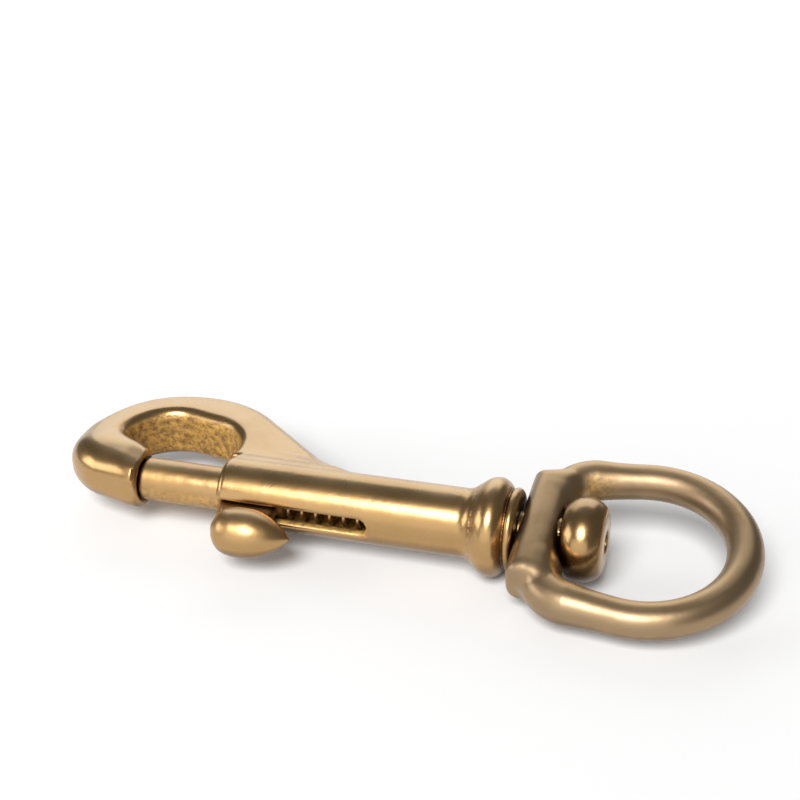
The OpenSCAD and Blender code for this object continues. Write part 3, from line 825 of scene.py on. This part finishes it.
class SNAP_OT_bolt(bpy.types.Operator):
    """Builds the sliding bolt with its thumb knob"""

    bl_idname = "snap.bolt"
    bl_label = "Bolt"

    def execute(self, context):
        _, k, _ = sizes()

        def raw(points, normals):
            under = ease(-normals[:, 2], *BOLT_UNDER)
            return BOLT_RAW * under * (points[:, 1] > -k.bolt_r - BOLT_RIM)

        def field(x, y, z):
            return bolt_field(x, y, z, k)

        obj = cast_piece("bolt_cast", field, "bolt", BOLT_CELL, raw)
        tone = context.scene.snap_look.dull
        material = brass("bolt_brass", tone, rough=0.37, lumpy=0.2)
        place(obj, "bolt", "bolt", "bolt_brass", material)
        return {"FINISHED"}


class SNAP_OT_spring(bpy.types.Operator):
    """Builds the coil spring with a Geometry Nodes tree"""

    bl_idname = "snap.spring"
    bl_label = "Spring"

    def tree(self, material):
        """The coil's tree: a spiral swept with the wire's circle and laid along X."""
        group = bpy.data.node_groups.new("coil", "GeometryNodeTree")
        face = group.interface
        for name in ("Turns", "Length", "Coil radius", "Wire radius"):
            face.new_socket(name, in_out="INPUT", socket_type="NodeSocketFloat")
        face.new_socket("Geometry", in_out="OUTPUT", socket_type="NodeSocketGeometry")
        n = group.nodes
        given = n.new("NodeGroupInput").outputs
        spiral = n.new("GeometryNodeCurveSpiral")
        spiral.inputs["Resolution"].default_value = TURN_STEPS
        profile = n.new("GeometryNodeCurvePrimitiveCircle")
        profile.inputs["Resolution"].default_value = WIRE_SIDES
        sweep = n.new("GeometryNodeCurveToMesh")
        sweep.inputs["Fill Caps"].default_value = True
        lay = n.new("GeometryNodeTransform")
        lay.inputs["Rotation"].default_value = (0, math.pi / 2, 0)
        smooth = n.new("GeometryNodeSetShadeSmooth")
        plain = n.new("GeometryNodeRealizeInstances")
        dress = n.new("GeometryNodeSetMaterial")
        dress.inputs["Material"].default_value = material
        out = n.new("NodeGroupOutput")
        link = group.links.new
        link(given["Turns"], spiral.inputs["Rotations"])
        link(given["Length"], spiral.inputs["Height"])
        link(given["Coil radius"], spiral.inputs["Start Radius"])
        link(given["Coil radius"], spiral.inputs["End Radius"])
        link(given["Wire radius"], profile.inputs["Radius"])
        link(spiral.outputs["Curve"], sweep.inputs["Curve"])
        link(profile.outputs["Curve"], sweep.inputs["Profile Curve"])
        link(sweep.outputs["Mesh"], lay.inputs["Geometry"])
        link(lay.outputs["Geometry"], smooth.inputs["Geometry"])
        link(smooth.outputs["Geometry"], plain.inputs["Geometry"])
        link(plain.outputs["Geometry"], dress.inputs["Geometry"])
        link(dress.outputs["Geometry"], out.inputs["Geometry"])
        return group

    def execute(self, context):
        k, reach = context.scene.snap_bolt, context.scene.snap_eye.reach
        material = spring_steel("spring_steel")
        group = self.tree(material)
        obj = bpy.data.objects.new("spring_coil", bpy.data.meshes.new("spring_coil"))
        context.scene.collection.objects.link(obj)
        modifier = obj.modifiers.new("coil", "NODES")
        modifier.node_group = group
        values = {
            "Turns": k.coil_turns,
            "Length": k.coil_end - k.coil_start,
            "Coil radius": k.coil_r,
            "Wire radius": k.wire_d / 2,
        }
        for item in group.interface.items_tree:
            if item.in_out == "INPUT":
                modifier[item.identifier] = values[item.name]
        seen = obj.evaluated_get(context.evaluated_depsgraph_get())
        mesh = bpy.data.meshes.new_from_object(seen)
        obj.modifiers.remove(modifier)
        obj.data = mesh
        for vertex in mesh.vertices:
            vertex.co.x += k.coil_start - reach
        place(obj, "body", "spring", "spring_steel", material)
        k.coil_end + k.wire_d / 2 - reach
        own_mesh(obj)
        return {"FINISHED"}


class SNAP_OT_eye(bpy.types.Operator):
    """Builds the swivel eye"""

    bl_idname = "snap.eye"
    bl_label = "Swivel eye"

    def execute(self, context):
        _, _, e = sizes()

        def raw(points, normals):
            x, y, z = points.T
            v, _ = turn(y, z, e.roll)
            nv, _ = turn(normals[:, 1], normals[:, 2], e.roll)
            inner = ease(-nv * np.sign(v), *EYE_INNER)
            toward = ease(-x, -e.reach + EYE_RUN[0], -e.reach + EYE_RUN[1])
            return EYE_RAW * inner * toward * (x > e.base_x + e.base_l - OVERLAP)

        def field(x, y, z):
            return eye_field(x, y, z, e)

        obj = cast_piece("swivel_eye_cast", field, "swivel_eye", EYE_CELL, raw)
        tone = context.scene.snap_look.bronze
        material = brass("eye_brass", tone, rough=0.42, lumpy=0.12)
        place(obj, "eye", "swivel_eye", "eye_brass", material)
        return {"FINISHED"}


class SNAP_OT_stage(bpy.types.Operator):
    """Builds the studio: floor, lights and camera"""

    bl_idname = "snap.stage"
    bl_label = "Studio"

    def hang(self, scene, light, az, el, far):
        """Hangs a light at an azimuth, elevation and distance, pointing at the part's middle."""
        lamp = bpy.data.objects.new(light.name, light)
        a, e = math.radians(az), math.radians(el)
        out = Vector((math.sin(a) * math.cos(e), -math.cos(a) * math.cos(e), math.sin(e)))
        lamp.location = Vector(STUDIO_MIDDLE) + far * out
        lamp.rotation_euler = out.to_track_quat("Z", "Y").to_euler()
        scene.collection.objects.link(lamp)

    def execute(self, context):
        scene = context.scene
        mesh = bpy.data.meshes.new("studio_floor")
        half, z = FLOOR_HALF, FLOOR_Z
        corners = [(-half, -half, z), (half, -half, z), (half, half, z), (-half, half, z)]
        mesh.from_pydata(corners, [], [(0, 1, 2, 3)])
        floor = bpy.data.objects.new("studio_floor", mesh)
        scene.collection.objects.link(floor)
        n = Nodes("studio_floor")
        n.put((*scene.snap_look.floor, 1), n.shader.inputs["Base Color"])
        n.shader.inputs["Roughness"].default_value = FLOOR_ROUGH
        mesh.materials.append(n.material)
        world = bpy.data.worlds.new("studio")
        world.use_nodes = True
        sky = world.node_tree.nodes["Background"].inputs
        sky["Color"].default_value = (1, 1, 1, 1)
        sky["Strength"].default_value = WORLD_STRENGTH
        scene.world = world
        scene.view_settings.view_transform = "Standard"
        for name, az, el, far, wide, tall, watts in CARDS:
            light = bpy.data.lights.new(name, "AREA")
            light.shape = "RECTANGLE"
            light.size, light.size_y, light.energy = wide, tall, watts
            self.hang(scene, light, az, el, far)
        sun = bpy.data.lights.new("key", "SUN")
        sun.angle, sun.energy = math.radians(KEY_ANGLE), KEY_STRENGTH
        self.hang(scene, sun, KEY_AZ, KEY_EL, KEY_FAR)
        data = bpy.data.cameras.new("camera")
        data.lens, data.sensor_width, data.clip_start = CAMERA_LENS, CAMERA_SENSOR, CAMERA_NEAR
        camera = bpy.data.objects.new("camera", data)
        camera.location = CAMERA_PLACE
        camera.rotation_euler = Matrix(CAMERA_AXES).transposed().to_euler()
        scene.collection.objects.link(camera)
        scene.camera = camera
        return {"FINISHED"}


class SNAP_PT_panel(bpy.types.Panel):
    """The add-on's panel in the sidebar"""

    bl_idname = "SNAP_PT_panel"
    bl_label = "Bolt snap"
    bl_space_type = "VIEW_3D"
    bl_region_type = "UI"
    bl_category = "Bolt snap"

    def draw(self, context):
        for operator in OPERATORS:
            self.layout.operator(operator.bl_idname)


OPERATORS = (SNAP_OT_body, SNAP_OT_bolt, SNAP_OT_spring, SNAP_OT_eye, SNAP_OT_stage)


def register():
    """Registers the groups of sizes, the operators and the panel."""
    for group in GROUPS.values():
        bpy.utils.register_class(group)
    for name, group in GROUPS.items():
        setattr(bpy.types.Scene, name, bpy.props.PointerProperty(type=group))
    for cls in (*OPERATORS, SNAP_PT_panel):
        bpy.utils.register_class(cls)


def unregister():
    """Takes them out again, in the opposite order."""
    for cls in reversed((*OPERATORS, SNAP_PT_panel)):
        bpy.utils.unregister_class(cls)
    for name, group in reversed(GROUPS.items()):
        delattr(bpy.types.Scene, name)
        bpy.utils.unregister_class(group)


def main():
    """Builds every piece and the studio."""
    register()
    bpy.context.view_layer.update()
    for operator in OPERATORS:
        getattr(bpy.ops.snap, operator.bl_idname.split(".")[1])()


if __name__ == "__main__":
    main()
